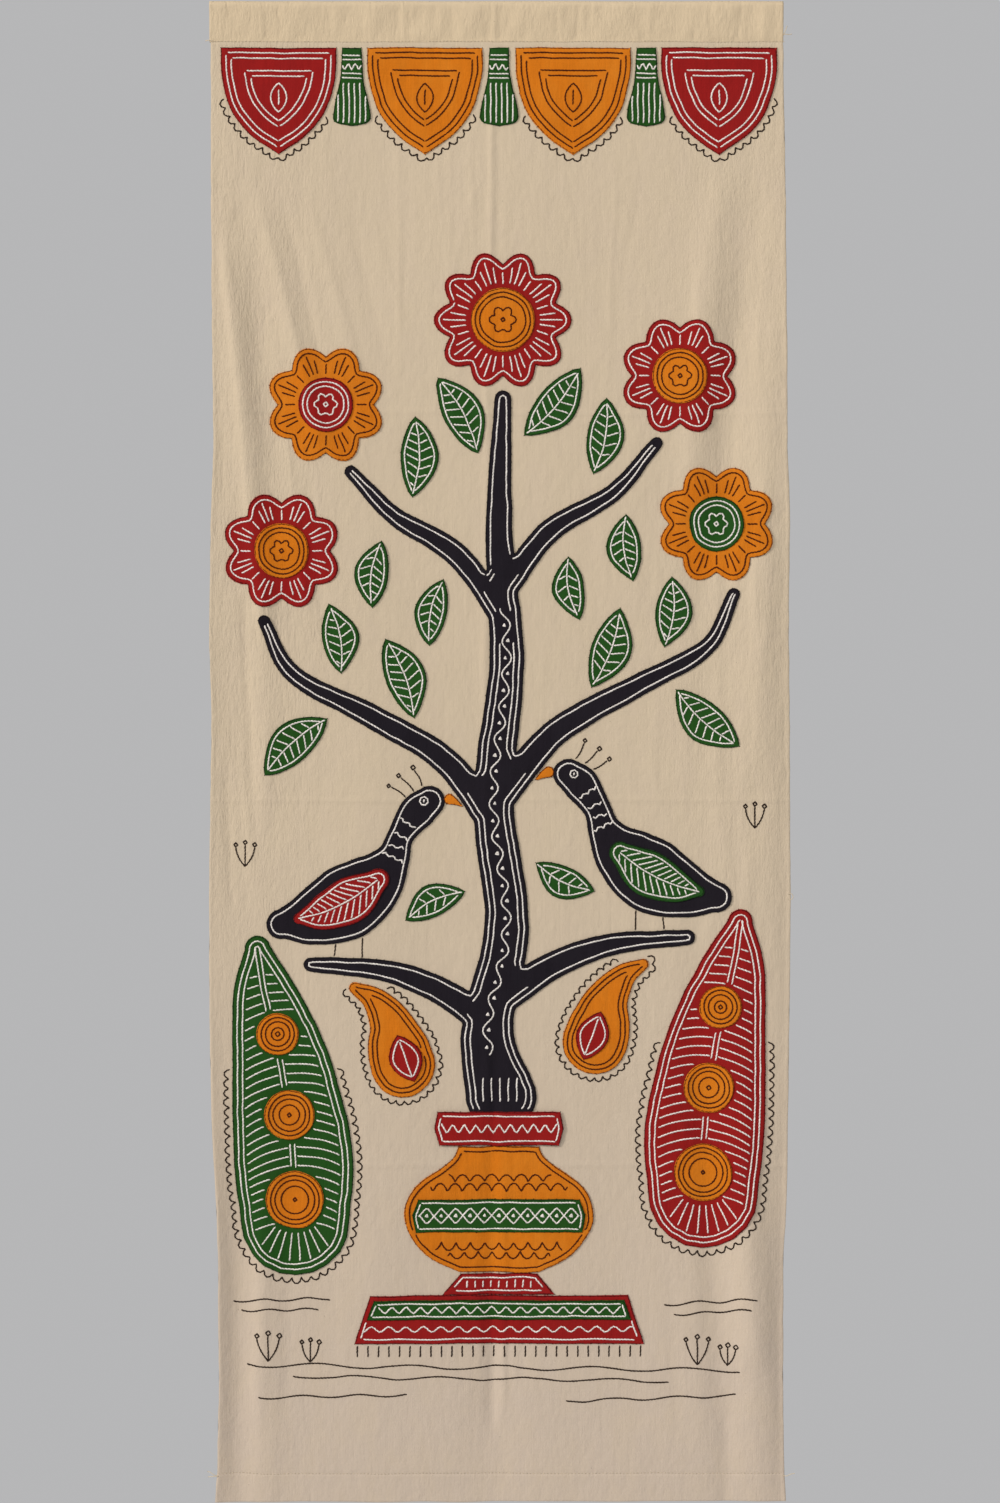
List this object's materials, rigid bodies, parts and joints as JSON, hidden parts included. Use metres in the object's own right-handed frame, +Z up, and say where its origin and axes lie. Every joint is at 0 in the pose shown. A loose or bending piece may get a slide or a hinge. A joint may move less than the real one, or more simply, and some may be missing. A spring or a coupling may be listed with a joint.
{
  "type": "applique wall hanging",
  "caption": "Long cotton wall hanging: sewn-on cut cloth tree, flowers, birds and scallops, a rod sleeve along the top and a doubled bottom hem.",
  "frame": {"origin": "middle of the rod sleeve's top edge, where the hanging is held up", "axes": "+Z up, +X to the right seen from the front, the face looks along -Y"},
  "size_m": [0.605, 0.0138, 1.561],
  "materials": {
    "cotton_cream": "matte unbleached plain weave cotton",
    "cotton_black": "matte charcoal black cotton",
    "cotton_red": "matte deep red cotton",
    "cotton_green": "matte bottle green cotton",
    "cotton_orange": "matte mustard orange cotton",
    "thread_white": "soft white embroidery thread",
    "thread_dark": "soft dark brown embroidery thread"
  },
  "bodies": {
    "root": {"rod_sleeve": "cotton_cream", "panel": "cotton_cream", "tree": "cotton_black", "left_bird_body": "cotton_black", "right_bird_body": "cotton_black", "scallop_1": "cotton_red", "scallop_4": "cotton_red", "mat": "cotton_red", "pot_rim": "cotton_red", "pot_foot": "cotton_red", "left_bird_wing": "cotton_red", "right_bird_tail": "cotton_red", "flower_1": "cotton_red", "flower_2": "cotton_red", "flower_5": "cotton_red", "flower_centre_4": "cotton_red", "left_paisley_drop": "cotton_red", "right_paisley_drop": "cotton_red", "scallop_2": "cotton_orange", "scallop_3": "cotton_orange", "pot_belly": "cotton_orange", "left_tail_eye_1": "cotton_orange", "left_tail_eye_2": "cotton_orange", "left_tail_eye_3": "cotton_orange", "right_tail_eye_1": "cotton_orange", "right_tail_eye_2": "cotton_orange", "right_tail_eye_3": "cotton_orange", "flower_3": "cotton_orange", "flower_4": "cotton_orange", "flower_centre_1": "cotton_orange", "flower_centre_2": "cotton_orange", "flower_centre_5": "cotton_orange", "left_paisley": "cotton_orange", "right_paisley": "cotton_orange", "tassel_1": "cotton_green", "tassel_2": "cotton_green", "tassel_3": "cotton_green", "pot_band": "cotton_green", "mat_strip": "cotton_green", "left_bird_tail": "cotton_green", "right_bird_wing": "cotton_green", "flower_centre_3": "cotton_green", "leaf_1": "cotton_green", "leaf_2": "cotton_green", "leaf_3": "cotton_green", "leaf_4": "cotton_green", "leaf_5": "cotton_green", "leaf_6": "cotton_green", "leaf_7": "cotton_green", "leaf_8": "cotton_green", "leaf_9": "cotton_green", "leaf_10": "cotton_green", "leaf_11": "cotton_green", "leaf_12": "cotton_green", "leaf_13": "cotton_green", "leaf_14": "cotton_green", "leaf_15": "cotton_green", "leaf_16": "cotton_green"}
  },
  "joints": []
}
